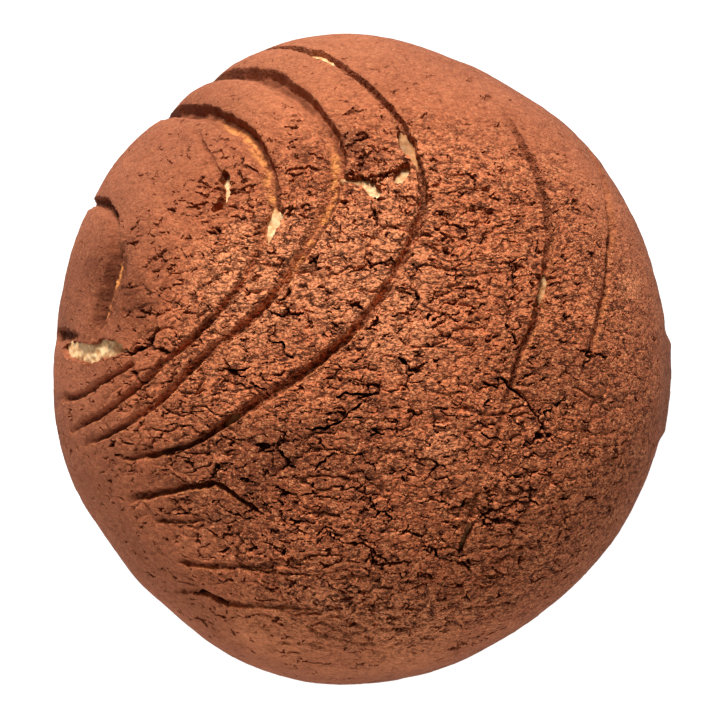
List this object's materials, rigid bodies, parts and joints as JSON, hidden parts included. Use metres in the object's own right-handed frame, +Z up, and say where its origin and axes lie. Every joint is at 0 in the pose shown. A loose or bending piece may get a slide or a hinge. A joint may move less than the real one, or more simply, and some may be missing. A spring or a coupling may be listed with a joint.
{
  "type": "concha sweet bun",
  "caption": "Round domed sweet bun under a cracked cocoa paste topping, scored with curved lines that fan out like a scallop shell.",
  "frame": {"origin": "middle of the bun's box at its flat underside", "axes": "+Z up through the dome; the scored lines fan out from -X towards +Y, and +Y is the longer way across"},
  "size_m": [0.1133, 0.1188, 0.053],
  "materials": {
    "bread": "soft golden crust, cream where the topping has torn",
    "topping": "matt sandy cocoa crumb with fine cracks"
  },
  "bodies": {
    "root": {"bread": "bread", "topping": "topping"}
  },
  "joints": []
}
